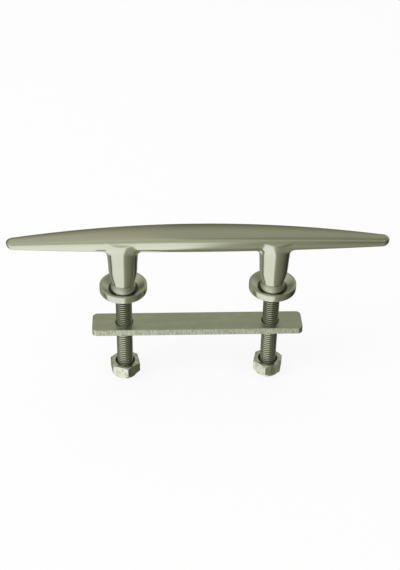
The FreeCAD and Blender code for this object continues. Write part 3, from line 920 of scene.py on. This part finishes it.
def tone_ramp(nodes, links, place, stops):
    """Tones round the room, from behind on the left, by the front, to behind on the right."""
    ramp = nodes.new("ShaderNodeValToRGB")
    ends = ramp.color_ramp.elements
    for k, (degrees, tone) in enumerate(stops):
        at = 0.5 + degrees / 360
        stop = ends[k] if k < 2 else ends.new(at)
        stop.position = at
        stop.color = (*(tone if isinstance(tone, tuple) else tinted(tone)), 1)
    links.new(place, ramp.inputs["Fac"])
    return ramp.outputs["Color"]


# Tones of the room that the polished steel shows, by degrees right of the camera's side
UNDER_TONES = ((-180, 0.90), (180, 0.25), (-177, 0.98), (5, 1.06), (9, 0.40), (60, 0.30))
LOW_TONES = (
    (-180, 0.16), (180, 0.20), (-130, 0.40), (-99, 0.26), (-95, 0.14), (-90, 0.14),
    (-83, 0.92), (-60, 1.0), (-30, 0.98), (2, 1.0), (9, 0.36), (25, 0.26),
    (50, 0.20), (70, 0.14), (90, 0.08), (112, 0.04), (128, 0.06), (142, 0.26),
)
LEVEL_TONES = (
    (-180, 0.22), (180, 0.16), (-165, 0.22), (-144, 0.12), (-122, 0.14), (-100, 0.42), (-50, 0.72),
    (0, 0.60), (22, 0.18), (40, 0.12), (90, 0.10), (125, 0.38), (144, 0.47), (165, 0.22),
)
HIGH_TONES = (
    (-180, 0.38), (180, 0.38), (-166, (0.49, 0.465, 0.34)), (-148, 0.52), (-120, 0.52),
    (-50, 0.60), (0, 0.50), (45, 0.36), (75, 0.27), (122, 0.27), (148, 0.36),
)


def room_material():
    """The room's tones in four rings: underneath, below, at the eye's level and above."""
    _, nodes, links, shader = new_material("room")
    nodes.remove(shader)
    x, y, z = place_axes(nodes, links)
    around = number(nodes, links, "ARCTAN2", x, number(nodes, links, "MULTIPLY", y, -1.0))
    share = number(nodes, links, "ADD", number(nodes, links, "DIVIDE", around, 2 * math.pi), 0.5)
    seen = tone_ramp(nodes, links, share, UNDER_TONES)
    rings = ((-0.90, -0.76, LOW_TONES), (-0.48, -0.22, LEVEL_TONES), (0.15, 0.68, HIGH_TONES))
    for low, high, tones in rings:
        above = spread(nodes, links, z, 0, 1, low, high)
        seen = blend(nodes, links, above, seen, tone_ramp(nodes, links, share, tones))
    glow = nodes.new("ShaderNodeEmission")
    links.new(seen, glow.inputs["Color"])
    links.new(glow.outputs[0], nodes["Material Output"].inputs["Surface"])


def add_room():
    """The room that only the polished steel shows."""
    bpy.ops.mesh.primitive_uv_sphere_add(segments=64, ring_count=32, radius=1.0)
    room = bpy.context.object
    room.name = "room"
    room.scale = (ROOM_RADIUS,) * 3
    room_material()
    dress(room, "room")
    hide_from_all_but_metal(room)


def add_lamp(name, place, aim, size, power):
    """A soft box lamp that the steel doesn't mirror."""
    data = bpy.data.lights.new(name, "AREA")
    data.shape = "RECTANGLE"
    data.size, data.size_y = size
    data.energy = power
    lamp = bpy.data.objects.new(name, data)
    bpy.context.scene.collection.objects.link(lamp)
    lamp.location = place
    lamp.rotation_euler = (Vector(aim) - Vector(place)).to_track_quat("-Z", "Y").to_euler()
    lamp.visible_glossy = False
    lamp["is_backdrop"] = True


# Registration

class CLEAT_PT_panel(bpy.types.Panel):
    """Lists the cleat's steps and sizes."""

    bl_label = "Boat Cleat"
    bl_idname = "CLEAT_PT_panel"
    bl_space_type = "VIEW_3D"
    bl_region_type = "UI"
    bl_category = "Cleat"

    def draw(self, context):
        for group in SETTINGS:
            box = self.layout.box()
            settings = getattr(context.scene, group)
            for key in settings.bl_rna.properties.keys():
                if key not in ("rna_type", "name"):
                    box.prop(settings, key)
        for operator in OPERATORS:
            self.layout.operator(operator.bl_idname)


SETTINGS = {
    "cleat_body": BodySettings,
    "cleat_thread": ThreadSettings,
    "cleat_ring": RingSettings,
    "cleat_finish": FinishSettings,
    "cleat_stage": StageSettings,
}
OPERATORS = (
    CLEAT_OT_finishes,
    CLEAT_OT_casting,
    CLEAT_OT_studs,
    CLEAT_OT_rings,
    CLEAT_OT_hardware,
    CLEAT_OT_stage,
)


def register():
    """Adds the classes and the scene's settings."""
    for group in SETTINGS.values():
        bpy.utils.register_class(group)
    for operator in OPERATORS:
        bpy.utils.register_class(operator)
    bpy.utils.register_class(CLEAT_PT_panel)
    for name, group in SETTINGS.items():
        setattr(bpy.types.Scene, name, PointerProperty(type=group))


def unregister():
    """Takes them away again."""
    for name in SETTINGS:
        delattr(bpy.types.Scene, name)
    bpy.utils.unregister_class(CLEAT_PT_panel)
    for operator in reversed(OPERATORS):
        bpy.utils.unregister_class(operator)
    for group in reversed(list(SETTINGS.values())):
        bpy.utils.unregister_class(group)


def main():
    """Builds the dressed cleat."""
    register()
    bpy.ops.cleat.finishes()
    bpy.ops.cleat.casting()
    bpy.ops.cleat.studs()
    bpy.ops.cleat.rings()
    bpy.ops.cleat.hardware()
    bpy.ops.cleat.stage()


if __name__ == "__main__":
    main()
